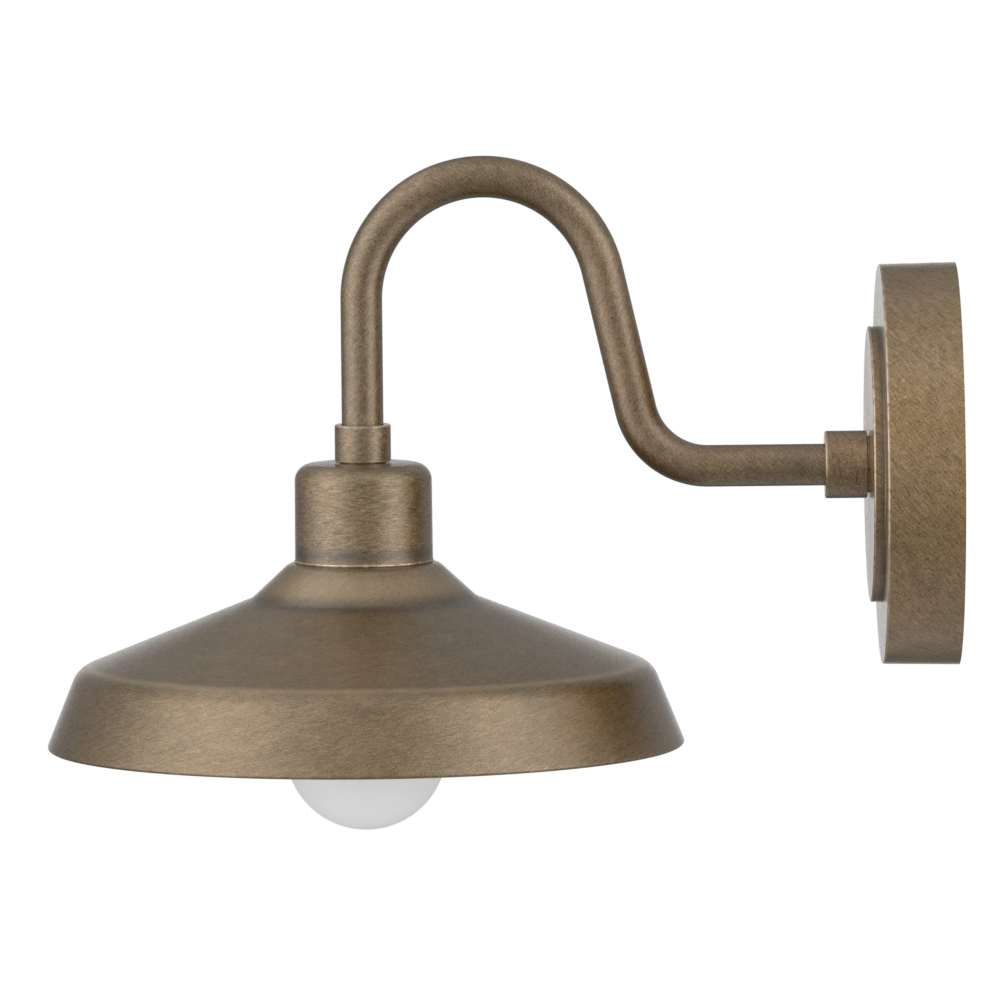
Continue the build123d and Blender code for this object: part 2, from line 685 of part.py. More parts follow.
def terminal_plates():
    """A brass plate and rivet for each lead, on the socket's roof and through it."""
    plates = []
    low = SOCKET_TOP
    high = LEAD_LEVEL - CONDUCTOR_RADIUS
    screw_hole = rod(TERMINAL_SCREW_RADIUS + THREAD_CLEARANCE, low - CUT_OVER, high + CUT_OVER)
    lead_end = LEAD_HEAD_BEND + LEAD_STOP + THREAD_CLEARANCE
    for side in (1, -1):
        rivet_x, rivet_y = rivet_place(side)
        x_span = sorted((side * (TERMINAL_SIDE + PLATE_SIDE), rivet_x - side * PLATE_RIVET_EDGE))
        y_span = sorted((side * (TERMINAL_RADIUS + PLATE_END), side * lead_end))
        plate = slab(x_span, y_span, (low, high))
        plate -= Pos(side * TERMINAL_SIDE, side * TERMINAL_RADIUS, 0) * screw_hole
        rivet_low = SOCKET_CEILING if side > 0 else SHELL_TOP
        plate += Pos(rivet_x, rivet_y, 0) * rod(RIVET_RADIUS, rivet_low, high)
        plates.append(at_head(plate))
    return plates


def terminal_screws():
    low = LEAD_LEVEL + CONDUCTOR_RADIUS
    screw = rod(TERMINAL_SCREW_RADIUS, SOCKET_TOP - TERMINAL_LENGTH, low)
    screw += slotted_head(TERMINAL_HEAD_RADIUS, low, low + TERMINAL_HEAD)
    return [at_head(Pos(side * TERMINAL_SIDE, side * TERMINAL_RADIUS, 0) * screw) for side in (1, -1)]


def contact_tongue():
    top = SOCKET_CEILING
    low = top - TONGUE_DROP
    line = [(TONGUE_ROOT, top), (TONGUE_BEND, top), (0, low), (TONGUE_TIP, low + TONGUE_LIFT)]
    under = shifted(line, PLATE_THICKNESS)
    strip = make_face(Polyline(*line, *reversed(under), close=True))
    return at_head(extrude(Plane.YZ * strip, TONGUE_WIDTH / 2, both=True))


def socket_shell():
    """The threaded shell, its rib half a pitch out of step with the bulb's thread."""
    shell = pipe(SHELL_RADIUS + SHELL_WALL, SHELL_RADIUS, SHELL_END, SHELL_TOP)
    rib_radius = SHELL_RIB_RADIUS + LAMP_THREAD_WIRE
    rib = screw_rib(rib_radius, LAMP_THREAD_WIRE, SHELL_TURNS, SHELL_END + LAMP_PITCH / 2)
    return at_head(shell + (rib & rod(SHELL_RADIUS + SHELL_WALL / 2, SHELL_END, SHELL_TOP)))


# --- Bulb ---------------------------------------------------------------------------------------


def bulb_base():
    """The screw base, with its thread as one rib round a hollow core."""
    rib = screw_rib(LAMP_THREAD_RADIUS - LAMP_THREAD_WIRE, LAMP_THREAD_WIRE, LAMP_TURNS, SHELL_END)
    core = lamp_core(LAMP_CORE_RADIUS, INSULATOR_RADIUS, 0)
    bore = lamp_core(LAMP_CORE_RADIUS - LAMP_BASE_WALL, INSULATOR_RADIUS - LAMP_BASE_WALL, LAMP_BASE_WALL)
    return at_head(core + rib - bore)


def lamp_core(radius, top_radius, sink):
    """The base without its thread, as a solid plug, or its hollow with the top sunk by the wall."""
    high = INSULATOR_FOOT - sink
    shoulder, low = LAMP_BASE_TOP - sink, LAMP_BASE_END
    return turned([(0, high), (top_radius, high), (radius, shoulder), (radius, low), (0, low)])


def bulb_insulator():
    high, low = INSULATOR_TOP, INSULATOR_FOOT
    return at_head(turned([(0, high), (INSULATOR_TOP_RADIUS, high), (INSULATOR_RADIUS, low), (0, low)]))


def bulb_tip():
    low, neck, face = INSULATOR_TOP, TIP_TOP - TIP_EDGE, TIP_RADIUS - TIP_EDGE
    return at_head(turned([(0, low), (TIP_RADIUS, low), (TIP_RADIUS, neck), (face, TIP_TOP), (0, TIP_TOP)]))


def neck_radius(level):
    """The bulb's outer radius above its globe: a cone from the screw base, tangent to the globe."""
    return NECK_RADIUS + (LAMP_BASE_END - level) * neck_slope()


def neck_slope():
    """How fast the neck widens, from the tangent that leaves the base's edge and touches the globe."""
    height = LAMP_BASE_END - GLOBE_CENTRE
    distance = sqrt(height**2 + NECK_RADIUS**2)
    along = sqrt(distance**2 - GLOBE_RADIUS**2)
    sine = (height * GLOBE_RADIUS - NECK_RADIUS * along) / distance**2
    return sine / sqrt(1 - sine**2)


def globe_outline(radius, neck):
    """Half of the globe's outline, from the crown round to where the neck's cone leaves it."""
    slope = neck_slope()
    cosine = 1 / sqrt(1 + slope**2)
    touch = (radius * cosine, GLOBE_CENTRE + radius * slope * cosine)
    middle = (radius * cos(radians(30)), GLOBE_CENTRE - radius * sin(radians(30)))
    return [ThreePointArc((0, GLOBE_CENTRE - radius), middle, touch), Line(touch, (neck, SEAM))]


def bulb_globe():
    outer = globe_outline(GLOBE_RADIUS, neck_radius(SEAM))
    inner_neck = neck_radius(SEAM) - GLOBE_WALL * sqrt(1 + neck_slope() ** 2)
    inner = globe_outline(GLOBE_RADIUS - GLOBE_WALL, inner_neck)
    ends = [Line(outer[0] @ 0, inner[0] @ 0), Line(outer[1] @ 1, inner[1] @ 1)]
    return at_head(revolve(Plane.XZ * make_face([*outer, *inner, *ends]), axis=Axis.Z))


def bulb_housing():
    wide = neck_radius(SEAM)
    insert = LAMP_CORE_RADIUS - LAMP_BASE_WALL - NECK_CLEARANCE
    ledge = SEAM + BOARD_THICKNESS
    pocket = wide - GLOBE_WALL
    outline = [
        (insert, LAMP_BASE_END + NECK_INSERT),
        (insert, LAMP_BASE_END),
        (NECK_RADIUS, LAMP_BASE_END),
        (wide, SEAM),
        (pocket, SEAM),
        (pocket, ledge),
        (pocket - BOARD_LEDGE, ledge),
        (insert - GLOBE_WALL, LAMP_BASE_END),
        (insert - GLOBE_WALL, LAMP_BASE_END + NECK_INSERT),
    ]
    return at_head(turned(outline))


def led_board():
    radius = neck_radius(SEAM) - GLOBE_WALL - BOARD_CLEARANCE
    board = rod(radius, SEAM, SEAM + BOARD_THICKNESS)
    half = LED_SIZE / 2
    chip = slab((LED_RING - half, LED_RING + half), (-half, half), (SEAM - LED_HEIGHT, SEAM))
    for place in range(LED_COUNT):
        board += Rot(0, 0, place * 360 / LED_COUNT) * chip
    return at_head(board)


def led_driver():
    half, face = DRIVER_WIDTH / 2, DRIVER_THICKNESS / 2
    low = SEAM + BOARD_THICKNESS
    board = slab((-half, half), (-face, face), (low, low + DRIVER_LENGTH))
    capacitor = Rot(-90, 0, 0) * rod(CAPACITOR_RADIUS, 0, CAPACITOR_LENGTH)
    return at_head(board + Pos(0, face, low + DRIVER_LENGTH / 2) * capacitor)


# --- Assembly -----------------------------------------------------------------------------------

# Wall side.
save("mounting_bracket", mounting_bracket())
save("canopy", canopy())
save("canopy_screws", canopy_screw(), Rot(0, 180, 0) * canopy_screw())
save("ground_screw", ground_screw())
save("ground_lead", tube_along(ground_lead_line(), LEAD_RADIUS))
WALL_NUT_TOP = SEAT_DEPTH - CANOPY_WALL - WASHER_THICKNESS
WALL_NIPPLE_END = WALL_NUT_TOP - NUT_HEIGHT - WALL_NIPPLE_TAIL
save("wall_nipple", on_wall(pipe(NIPPLE_RADIUS, NIPPLE_BORE, WALL_NIPPLE_END, WALL_SEAT + NIPPLE_STAND)))
washer_bore = NIPPLE_RADIUS + HOLE_CLEARANCE
thread_bore = NIPPLE_RADIUS + THREAD_CLEARANCE
WALL_WASHER_TOP = WALL_NUT_TOP + WASHER_THICKNESS
save("wall_lock_washer", on_wall(split_washer(WASHER_RADIUS, washer_bore, WALL_NUT_TOP, WALL_WASHER_TOP)))
save("wall_locknut", on_wall(hex_nut(NUT_FLATS, thread_bore, WALL_NUT_TOP - NUT_HEIGHT, WALL_NUT_TOP)))
bushing = pipe(NIPPLE_RADIUS, BUSHING_BORE, WALL_NIPPLE_END - BUSHING_FLANGE, WALL_NIPPLE_END)
sleeve_radius = NIPPLE_BORE - THREAD_CLEARANCE
bushing += pipe(sleeve_radius, BUSHING_BORE, WALL_NIPPLE_END, WALL_NIPPLE_END + BUSHING_SLEEVE)
save("wall_bushing", on_wall(bushing))
save("wall_collar", wall_collar())
save("wall_set_screw", on_wall(collar_screw(WALL_COLLAR_RADIUS, wall_screw_depth())))

# Arm and leads.
save("gooseneck_arm", gooseneck_arm())
save("hot_lead", lead(1))
save("neutral_lead", lead(-1))
save("conductor_ends", *conductor_ends())

# Head.
save("head_collar", head_collar())
save("head_set_screw", at_head(collar_screw(HEAD_COLLAR_RADIUS, head_screw_height())))
HEAD_WASHER_TOP = HANGER_TOP - HANGER_THICKNESS
HEAD_NUT_TOP = HEAD_WASHER_TOP - WASHER_THICKNESS
HEAD_NIPPLE_END = HEAD_NUT_TOP - NUT_HEIGHT - HEAD_NIPPLE_TAIL
save("head_nipple", at_head(pipe(NIPPLE_RADIUS, NIPPLE_BORE, HEAD_NIPPLE_END, HEAD_SEAT + NIPPLE_STAND)))
save("head_lock_washer", at_head(split_washer(WASHER_RADIUS, washer_bore, HEAD_NUT_TOP, HEAD_WASHER_TOP)))
save("head_locknut", at_head(hex_nut(NUT_FLATS, thread_bore, HEAD_NUT_TOP - NUT_HEIGHT, HEAD_NUT_TOP)))
save("socket_cup", socket_cup())
save("shade", shade())
save("shade_ring", shade_ring())
save("socket_hanger", socket_hanger())
save("hanger_screws", *hanger_screws())
save("socket_body", socket_body())
save("terminal_plates", *terminal_plates())
save("terminal_screws", *terminal_screws())
save("contact_tongue", contact_tongue())
save("socket_shell", socket_shell())

# Bulb.
save("bulb_tip", bulb_tip())
save("bulb_insulator", bulb_insulator())
save("bulb_base", bulb_base())
save("bulb_housing", bulb_housing())
save("led_driver", led_driver())
save("led_board", led_board())
save("bulb_globe", bulb_globe())
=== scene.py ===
from math import asin, atan2, cos, hypot, pi, radians, sin, tan

import bpy
from mathutils import Matrix, Vector


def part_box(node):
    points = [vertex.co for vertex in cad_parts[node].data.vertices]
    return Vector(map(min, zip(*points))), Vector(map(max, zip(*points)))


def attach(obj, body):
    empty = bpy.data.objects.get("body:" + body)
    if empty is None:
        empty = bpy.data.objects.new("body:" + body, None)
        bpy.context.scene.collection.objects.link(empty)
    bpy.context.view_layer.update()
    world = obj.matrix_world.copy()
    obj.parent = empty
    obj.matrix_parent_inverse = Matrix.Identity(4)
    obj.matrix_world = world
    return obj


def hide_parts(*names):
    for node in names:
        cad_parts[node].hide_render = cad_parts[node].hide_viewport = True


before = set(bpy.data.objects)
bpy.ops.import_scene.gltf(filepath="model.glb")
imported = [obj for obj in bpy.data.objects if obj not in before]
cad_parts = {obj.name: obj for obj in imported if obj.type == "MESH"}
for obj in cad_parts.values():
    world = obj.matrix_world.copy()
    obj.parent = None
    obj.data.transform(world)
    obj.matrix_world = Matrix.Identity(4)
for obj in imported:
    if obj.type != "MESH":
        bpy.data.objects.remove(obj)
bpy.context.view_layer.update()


# --- Places and sizes in the frame, in metres ---

UP = (0.0, 0.0, 1.0)
OUT = (0.0, -1.0, 0.0)
SHADE_LOW, SHADE_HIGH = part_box("shade")
CUP_LOW, CUP_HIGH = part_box("socket_cup")
CANOPY_LOW, CANOPY_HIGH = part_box("canopy")
ARM_LOW, ARM_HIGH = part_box("gooseneck_arm")
HEAD_COLLAR_LOW, HEAD_COLLAR_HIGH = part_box("head_collar")
WALL_COLLAR_LOW, WALL_COLLAR_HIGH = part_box("wall_collar")
HEAD = (0.0, (SHADE_LOW.y + SHADE_HIGH.y) / 2, 0.0)
WALL = (0.0, 0.0, 0.0)

# The shade's section: bore, corners (radius, height, round), wall and hem. The margin keeps it in its box.
BOX_MARGIN = 0.00001
RIM_RADIUS = (SHADE_HIGH.x - SHADE_LOW.x) / 2 - BOX_MARGIN
LIP = -0.0349
SHADE_BORE = 0.0201
SHOULDER = (0.0280, LIP, 0.0070)
WAIST = (0.0427, LIP - 0.0137, 0.0078)
KNEE = (0.1092, LIP - 0.0403, 0.0103)
SHADE_WALL = 0.0012
HEM_RADIUS = 0.0011
HEM_OVERLAP = 0.6 * HEM_RADIUS

# The arm's tube, and its centreline in the plane x = 0.
TUBE_RADIUS = 0.00792
TUBE_BORE = 0.00674
REACH = 0.2248
RISE = 0.1106
TOP_BEND = 0.0462
LOW_BEND = 0.0280
LEG_LEAN = radians(12.9)

# The canopy's two discs.
CANOPY_RADIUS = (CANOPY_HIGH.x - CANOPY_LOW.x) / 2
CANOPY_DEPTH = 0.0290
STEP_RADIUS = 0.0522

# How finely the meshes are divided.
ARC_STEPS = 14
HEM_STEPS = 26
SHADE_SIDES = 400
SHADE_STEP = 0.004
ARM_SIDES = 96
ARM_STEP = 0.0012
SHARP_ANGLE = radians(32)


# --- Camera: a long lens from the side, a little above the light, fitted to the photographed outlines ---

CAMERA_PLACE = Vector((4.982, -0.2289, 0.4229))
CAMERA_PITCH = radians(-4.99)
CAMERA_YAW = 0.0112
CAMERA_ROLL = -0.0100
CAMERA_LENS = 475.5
SENSOR = 36.0


def make_camera():
    """Looks along -X, turned slightly to the wall, tipped down and rolled as the photograph is."""
    level = cos(CAMERA_PITCH)
    forward = Vector((-cos(CAMERA_YAW) * level, sin(CAMERA_YAW) * level, sin(CAMERA_PITCH)))
    right = forward.cross(Vector(UP)).normalized()
    up = right.cross(forward)
    rolled_right = right * cos(CAMERA_ROLL) + up * sin(CAMERA_ROLL)
    rolled_up = up * cos(CAMERA_ROLL) - right * sin(CAMERA_ROLL)
    data = bpy.data.cameras.new("camera")
    data.lens = CAMERA_LENS
    data.sensor_width = SENSOR
    camera = bpy.data.objects.new("camera", data)
    axes = Matrix((rolled_right, rolled_up, -forward)).transposed()
    camera.matrix_world = Matrix.Translation(CAMERA_PLACE) @ axes.to_4x4()
    bpy.context.scene.collection.objects.link(camera)
    bpy.context.scene.camera = camera


# --- Node trees ---

class Graph:
    """A node tree that is built by giving each node its inputs."""

    def __init__(self, tree):
        self.tree = tree
        self.tree.nodes.clear()

    def set_input(self, socket, value):
        """Links a socket to the input, or writes a plain value on it."""
        if isinstance(value, bpy.types.NodeSocket):
            self.tree.links.new(value, socket)
        else:
            socket.default_value = value

    def node(self, kind, inputs=None, **settings):
        made = self.tree.nodes.new("ShaderNode" + kind)
        for name, value in settings.items():
            setattr(made, name, value)
        for key, value in (inputs or {}).items():
            self.set_input(made.inputs[key], value)
        return made

    def math(self, operation, *values, clamp=False):
        made = self.node("Math", dict(enumerate(values)), operation=operation, use_clamp=clamp)
        return made.outputs[0]

    def sway(self, noise, weight, base, clamp=False):
        """The base, moved up and down by how far noise is from its middle."""
        return self.math("MULTIPLY_ADD", self.math("SUBTRACT", noise, 0.5), weight, base, clamp=clamp)

    def vector(self, operation, *values):
        made = self.node("VectorMath", dict(enumerate(values)), operation=operation)
        return made.outputs["Value" if operation in ("LENGTH", "DOT_PRODUCT") else "Vector"]

    def scale(self, vector, factor):
        inputs = {0: vector, "Scale": factor}
        return self.node("VectorMath", inputs, operation="SCALE").outputs["Vector"]

    def noise(self, vector, scale, detail=2.0, roughness=0.5, distortion=0.0, spread=None):
        """Noise from 0 to 1; with a spread, only that narrow band of its values is drawn out to 0..1."""
        inputs = {"Vector": vector, "Scale": scale, "Detail": detail}
        inputs.update({"Roughness": roughness, "Distortion": distortion})
        made = self.node("TexNoise", inputs).outputs["Fac"]
        return self.span(made, *spread) if spread else made

    def span(self, value, low, high, to_low=0.0, to_high=1.0):
        """Maps low..high smoothly to a new range, and holds it beyond."""
        inputs = {"Value": value, "From Min": low, "From Max": high}
        inputs.update({"To Min": to_low, "To Max": to_high})
        return self.node("MapRange", inputs, interpolation_type="SMOOTHSTEP").outputs["Result"]

    def mix(self, factor, one, two):
        """Mixes two colours. The node's sockets 0, 6 and 7 are its factor and its two colours."""
        made = self.node("Mix", data_type="RGBA")
        for index, value in ((0, factor), (6, one), (7, two)):
            self.set_input(made.inputs[index], value)
        return made.outputs[2]

    def ramp(self, value, stops):
        """A smooth curve through levels at these places, all from 0 to 1."""
        made = self.node("ValToRGB", {"Fac": value})
        made.color_ramp.interpolation = "EASE"
        elements = made.color_ramp.elements
        while len(elements) < len(stops):
            elements.new(0.5)
        for element, (place, level) in zip(elements, stops):
            element.position = place
            element.color = (level, level, level, 1)
        return made.outputs["Color"]

    def place(self):
        """The point's place on the object at rest, in metres."""
        return self.node("TexCoord").outputs["Object"]

    def surface(self, colour, roughness, metallic, bump, bump_depth, **fixed):
        """The finished surface shader; a coat over it follows the same bumps."""
        normal = self.node("Bump", {"Height": bump, "Distance": bump_depth}).outputs["Normal"]
        inputs = {"Base Color": colour, "Roughness": roughness, "Metallic": metallic, "Normal": normal}
        if "Coat Weight" in fixed:
            inputs["Coat Normal"] = normal
        shader = self.node("BsdfPrincipled", {**inputs, **fixed})
        self.node("OutputMaterial", {"Surface": shader.outputs["BSDF"]})


def new_material(name):
    material = bpy.data.materials.new(name)
    material.use_nodes = True
    return material, Graph(material.node_tree)


# --- Outlines ---

def rounded(points):
    """Replaces each corner (x, y, radius) that has a radius with points along its round."""
    made = []
    for index, corner in enumerate(points):
        if len(corner) < 3:
            made.append(corner)
            continue
        radius = corner[2]
        here = Vector(corner[:2])
        before = (Vector(points[index - 1][:2]) - here).normalized()
        after = (Vector(points[index + 1][:2]) - here).normalized()
        half = before.angle(after) / 2
        centre = here + (before + after).normalized() * radius / sin(half)
        start = here + before * radius / tan(half) - centre
        end = here + after * radius / tan(half) - centre
        sweep = atan2(start.x * end.y - start.y * end.x, start.dot(end))
        for step in range(ARC_STEPS + 1):
            angle = sweep * step / ARC_STEPS
            x = start.x * cos(angle) - start.y * sin(angle)
            y = start.x * sin(angle) + start.y * cos(angle)
            made.append((centre.x + x, centre.y + y))
    return made


def filled_runs(points, longest):
    """Divides long straight stretches into steps of about this length."""
    made = [points[0]]
    for start, end in zip(points, points[1:]):
        steps = max(1, round(hypot(end[0] - start[0], end[1] - start[1]) / longest))
        for step in range(1, steps + 1):
            part = step / steps
            made.append((start[0] + (end[0] - start[0]) * part, start[1] + (end[1] - start[1]) * part))
    return made


def inner_corners(corners, wall):
    """The corners of a sheet's inner side: runs moved inwards, rounds kept about the same centres."""
    runs = []
    for (x0, y0, *_), (x1, y1, *_) in zip(corners, corners[1:]):
        along = Vector((x1 - x0, y1 - y0)).normalized()
        off = Vector((along.y, -along.x)) * wall
        runs.append((Vector((x0, y0)) + off, Vector((x1, y1)) + off))
    made = [tuple(runs[0][0])]
    for (a, b), (c, d), corner in zip(runs, runs[1:], corners[1:]):
        first, second, gap = b - a, d - c, c - a
        turn = first.x * second.y - first.y * second.x
        meet = a + first * (gap.x * second.y - gap.y * second.x) / turn
        made.append((meet.x, meet.y, corner[2] + (wall if turn > 0 else -wall)))
    last, end = Vector(made[-1][:2]), runs[-1][1]
    stop = end.y + wall - HEM_OVERLAP
    made.append((last.x + (end.x - last.x) * (stop - last.y) / (end.y - last.y), stop))
    return made


def shade_section():
    """Outer wall down to the hem, round it, and back up inside."""
    centre = Vector((RIM_RADIUS - HEM_RADIUS, SHADE_LOW.z + HEM_RADIUS))
    way = centre - Vector(KNEE[:2])
    lean = asin(HEM_RADIUS / way.length)
    heading = atan2(way.y, way.x) + lean
    run = way.length * cos(lean)
    tangent = (KNEE[0] + cos(heading) * run, KNEE[1] + sin(heading) * run)
    corners = [(SHADE_BORE, LIP), SHOULDER, WAIST, KNEE, tangent]
    inner = rounded(inner_corners(corners, SHADE_WALL))
    start = atan2(tangent[1] - centre.y, tangent[0] - centre.x)
    stop = atan2(inner[-1][1] - centre.y, inner[-1][0] - centre.x)
    turn = (start - stop) % (2 * pi)
    hem = []
    for step in range(1, HEM_STEPS):
        angle = start - turn * step / HEM_STEPS
        hem.append((centre.x + HEM_RADIUS * cos(angle), centre.y + HEM_RADIUS * sin(angle)))
    return filled_runs(rounded(corners), SHADE_STEP) + hem + filled_runs(inner[::-1], SHADE_STEP)


def arm_centreline():
    """Points and headings along the arm, from inside the wall collar to inside the head collar."""
    lean_cos, lean_sin = cos(LEG_LEAN), sin(LEG_LEAN)
    leg = (RISE - (TOP_BEND + LOW_BEND) * (1 - lean_sin)) / lean_cos
    low_bend_start = -REACH + (TOP_BEND + LOW_BEND) * lean_cos + TOP_BEND + leg * lean_sin
    place, heading = Vector((ARM_HIGH.y, 0.0)), pi
    made = [(place.copy(), heading)]

    def straight(length):
        nonlocal place
        steps = max(2, round(length / ARM_STEP))
        start = place.copy()
        for step in range(1, steps + 1):
            part = Vector((cos(heading), sin(heading))) * length * step / steps
            made.append((start + part, heading))
        place = made[-1][0].copy()

    def bend(radius, angle):
        nonlocal place, heading
        side = 1 if angle > 0 else -1
        centre = place + Vector((-sin(heading), cos(heading))) * radius * side
        steps = max(4, round(radius * abs(angle) / ARM_STEP))
        first = heading
        for step in range(1, steps + 1):
            heading = first + angle * step / steps
            made.append((centre - Vector((-sin(heading), cos(heading))) * radius * side, heading))
        place = made[-1][0].copy()

    straight(ARM_HIGH.y - low_bend_start)
    bend(LOW_BEND, LEG_LEAN - pi / 2)
    straight(leg)
    bend(TOP_BEND, pi - LEG_LEAN)
    straight(place.y - ARM_LOW.z)
    return made


# --- The two pieces that replace a node with a finer mesh of the same shape ---

def ring_faces(ring_count, sides):
    """Quads between each ring of points and the next, with the last ring joined to the first."""
    faces = []
    for ring in range(ring_count):
        low, high = ring * sides, (ring + 1) % ring_count * sides
        for side in range(sides):
            after = (side + 1) % sides
            faces.append((low + side, low + after, high + after, high + side))
    return faces


def finish_piece(name, vertices, faces, material, node):
    """Makes a smooth piece on the fixture that stands for a node."""
    mesh = bpy.data.meshes.new(name)
    mesh.from_pydata(vertices, [], faces)
    mesh.validate()
    mesh.shade_smooth()
    mesh.set_sharp_from_angle(angle=SHARP_ANGLE)
    mesh.materials.append(material)
    piece = bpy.data.objects.new(name, mesh)
    bpy.context.scene.collection.objects.link(piece)
    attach(piece, "fixture")
    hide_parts(node)
    return piece


def make_arm(material):
    """The bent tube, with its turn and length kept on each point for the grain of its finish."""
    line = arm_centreline()
    lengths = [0.0]
    for (before, _), (after, _) in zip(line, line[1:]):
        lengths.append(lengths[-1] + (after - before).length)
    spots = [(place, heading, along) for (place, heading), along in zip(line, lengths)]
    vertices, spin = [], []
    for radius, order in ((TUBE_RADIUS, spots), (TUBE_BORE, spots[::-1])):
        for place, heading, along in order:
            side = Vector((0, -sin(heading), cos(heading)))
            for step in range(ARM_SIDES):
                angle = 2 * pi * step / ARM_SIDES
                out = Vector((sin(angle), 0, 0)) + side * cos(angle)
                vertices.append(Vector((0, place.x, place.y)) + out * radius)
                spin.extend((cos(angle), sin(angle), along))
    faces = ring_faces(2 * len(spots), ARM_SIDES)
    arm = finish_piece("arm", vertices, faces, material, "gooseneck_arm")
    arm.data.attributes.new("spin", "FLOAT_VECTOR", "POINT").data.foreach_set("vector", spin)


def make_shade(material):
    """The shade's section turned about the head's axis."""
    section = shade_section()
    vertices = []
    for radius, height in section:
        for side in range(SHADE_SIDES):
            angle = 2 * pi * side / SHADE_SIDES
            vertices.append((HEAD[0] + radius * cos(angle), HEAD[1] + radius * sin(angle), height))
    faces = ring_faces(len(section), SHADE_SIDES)
    finish_piece("spun_shade", vertices, faces, material, "shade")


# --- Bronze ---

BRONZE_DARK = (0.050, 0.030, 0.015, 1)
BRONZE_BROWN = (0.258, 0.148, 0.040)
BRONZE_GREY = (0.232, 0.152, 0.052)
BRONZE_STROKE = (0.260, 0.200, 0.130)
BRONZE_LEAST = (0.020, 0.012, 0.006)
BRONZE_BRIGHT = (0.62, 0.45, 0.28, 1)
# Lighter edge colour: partly wear, partly a painted highlight where edges catch light.
BRONZE_WORN_AND_HIGHLIGHT = (0.78, 0.63, 0.45, 1)
BRONZE_ROUGHNESS = 0.46
LACQUER = {"Coat Weight": 1.0, "Coat Roughness": 0.19, "Coat IOR": 1.95}

# Scales of the finish's noises, per metre, from large to small.
CLOUD_SCALE = 24.0
DRIFT_SCALE = 60.0
PATCH_SCALE = 85.0
BREAK_SCALE = 140.0
HAIRLINE_SCALE = 230.0
MOTTLE_SCALE = 330.0
GRAIN_SCALE = 2100.0

# How strongly each one lightens and darkens the finish.
CLOUD_WEIGHT = 0.04
PATCH_WEIGHT = 0.05
MOTTLE_WEIGHT = 0.22
GRAIN_WEIGHT = 1.10
HAIRLINE_WEIGHT = 0.16
MARK_WEIGHT = 0.10

STROKE_DRIFT = 0.005
OUTLINE_STRETCH = 1.3
HAIRLINE_SHIFTS = ((0.0, 0.0, 0.0), (0.31, 0.17, 0.23))
BRONZE_RELIEF = 0.00003


def about(origin, axis, radius):
    """Coordinates on a turned surface: unit way round the axis, length along the outline, axis, radius."""
    def made(graph):
        local = graph.vector("SUBTRACT", graph.place(), origin)
        height = graph.vector("DOT_PRODUCT", local, axis)
        radial = graph.vector("SUBTRACT", local, graph.scale(axis, height))
        out = graph.vector("LENGTH", radial)
        along = graph.math("DIVIDE", graph.math("SUBTRACT", out, height), OUTLINE_STRETCH)
        return graph.vector("NORMALIZE", radial), along, axis, radius
    return made


def about_tube(graph):
    """The same for the arm, from what its points keep."""
    spin = graph.node("Attribute", attribute_name="spin").outputs["Vector"]
    parts = graph.node("SeparateXYZ", {0: spin})
    flat = graph.node("CombineXYZ", {0: parts.outputs[0], 1: parts.outputs[1], 2: 0.0})
    return flat.outputs[0], parts.outputs[2], UP, TUBE_RADIUS


def drawn_out(graph, coordinates, size_round, size_along, seed, roughness):
    """Noise with one size round a turned surface and another along its outline."""
    around, along, axis, radius = coordinates
    offset = (seed, seed * 1.7, seed * 2.3)
    ring = graph.vector("ADD", graph.scale(around, radius / size_round), offset)
    run = graph.scale(axis, graph.math("DIVIDE", along, size_along))
    return graph.noise(graph.vector("ADD", ring, run), 1.0, detail=3.0, roughness=roughness)


def strokes(graph, coordinates, slope, length, width, seed):
    """Strokes whose tangent rises by the slope for each step round the axis."""
    around, along, axis, radius = coordinates
    drift = graph.noise(graph.place(), DRIFT_SCALE)
    angle = graph.math("MULTIPLY", graph.sway(drift, STROKE_DRIFT, along), slope / radius)
    inputs = {"Vector": around, "Axis": axis, "Angle": angle}
    turned = graph.node("VectorRotate", inputs, rotation_type="AXIS_ANGLE").outputs["Vector"]
    return drawn_out(graph, (turned, along, axis, radius), width, length, seed, roughness=0.62)


def rings(graph, coordinates, length, width, seed):
    """Strokes round the axis, as a lathe or a spinning tool leaves them."""
    return drawn_out(graph, coordinates, length, width, seed, roughness=0.6)


def rubbed(graph, coordinates, ways, depth, tone):
    """Adds every set of strokes to the tone, and gives the bright marks that the strongest ones leave."""
    marks = 0.0
    for index, (slope, length, width, weight) in enumerate(ways):
        if slope is None:
            stroke = rings(graph, coordinates, length, width, seed=index + 1.3)
        else:
            stroke = strokes(graph, coordinates, slope, length, width, seed=index * 3.1)
        tone = graph.sway(stroke, weight * depth, tone)
        marks = graph.math("MAXIMUM", marks, graph.span(stroke, 0.60, 0.72))
    return tone, marks


def hairlines(graph, place):
    """Thin curved scratches, here and there."""
    lines = 0.0
    for shift in HAIRLINE_SHIFTS:
        moved = graph.vector("ADD", place, shift)
        field = graph.noise(moved, HAIRLINE_SCALE, detail=1.0, distortion=0.8)
        off = graph.math("ABSOLUTE", graph.math("SUBTRACT", field, 0.5))
        lines = graph.math("MAXIMUM", lines, graph.span(off, 0.004, 0.016, 1.0, 0.0))
    return graph.math("MULTIPLY", lines, graph.noise(place, BREAK_SCALE, spread=(0.48, 0.62)))


def near_ring(graph, origin, axis, radius, height, reach):
    """1 on a round edge of that radius and height, fading over its reach."""
    local = graph.vector("SUBTRACT", graph.place(), origin)
    along = graph.vector("DOT_PRODUCT", local, axis)
    out = graph.vector("LENGTH", graph.vector("SUBTRACT", local, graph.scale(axis, along)))
    aside = graph.math("SUBTRACT", out, radius)
    above = graph.math("SUBTRACT", along, height)
    square = graph.math("ADD", graph.math("MULTIPLY", aside, aside), graph.math("MULTIPLY", above, above))
    return graph.span(graph.math("SQRT", square), 0.0, reach, 1.0, 0.0)


def at_level(colour, level):
    """The colour, lighter or darker, as the parts of a list."""
    return [part * level for part in colour]


